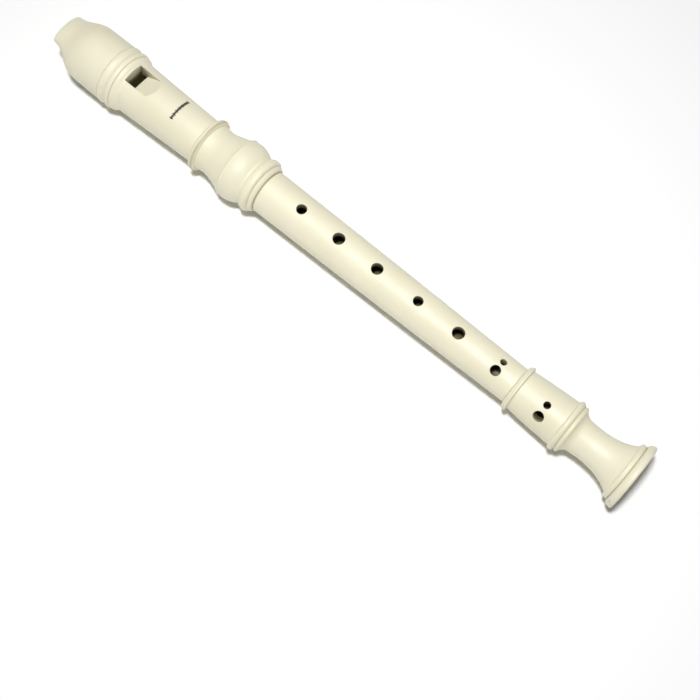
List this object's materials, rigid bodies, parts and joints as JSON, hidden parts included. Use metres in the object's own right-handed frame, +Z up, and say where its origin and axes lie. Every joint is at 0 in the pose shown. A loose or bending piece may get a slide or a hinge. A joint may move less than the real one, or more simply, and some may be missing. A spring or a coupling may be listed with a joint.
{
  "type": "soprano recorder",
  "caption": "Ivory plastic soprano recorder with a beaked head, window and labium, a straight body with finger holes, and a flared foot; the joints twist and pull apart.",
  "frame": {"origin": "on the ground under the middle of the instrument's length, below the bore's axis", "axes": "+X along the bore from the beak to the bell, +Z up through the front finger holes, +Y to the side of the small holes"},
  "size_m": [0.3204, 0.0316, 0.0316],
  "materials": {
    "moulded_plastic": "semi-gloss cream ABS",
    "seal_rubber": "matt nitrile"
  },
  "bodies": {
    "body": {"body_tube": "moulded_plastic"},
    "head_seal": {"head_tenon_seal": "seal_rubber"},
    "head": {"mouthpiece": "moulded_plastic", "windway_block": "moulded_plastic", "head_barrel": "moulded_plastic"},
    "foot_seal": {"foot_tenon_seal": "seal_rubber"},
    "foot": {"foot_joint": "moulded_plastic"}
  },
  "joints": [
    {"name": "head_twist", "type": "hinge", "parent": "body", "child": "head_seal", "pos_m": [-0.05575, 0, 0.0158], "axis": [1, 0, 0], "continuous": true},
    {"name": "head_pull", "type": "slide", "parent": "head_seal", "child": "head", "axis": [-1, 0, 0], "range_m": [0, 0.03]},
    {"name": "foot_twist", "type": "hinge", "parent": "body", "child": "foot_seal", "pos_m": [0.10525, 0, 0.0158], "axis": [1, 0, 0], "continuous": true},
    {"name": "foot_pull", "type": "slide", "parent": "foot_seal", "child": "foot", "axis": [1, 0, 0], "range_m": [0, 0.018]}
  ]
}
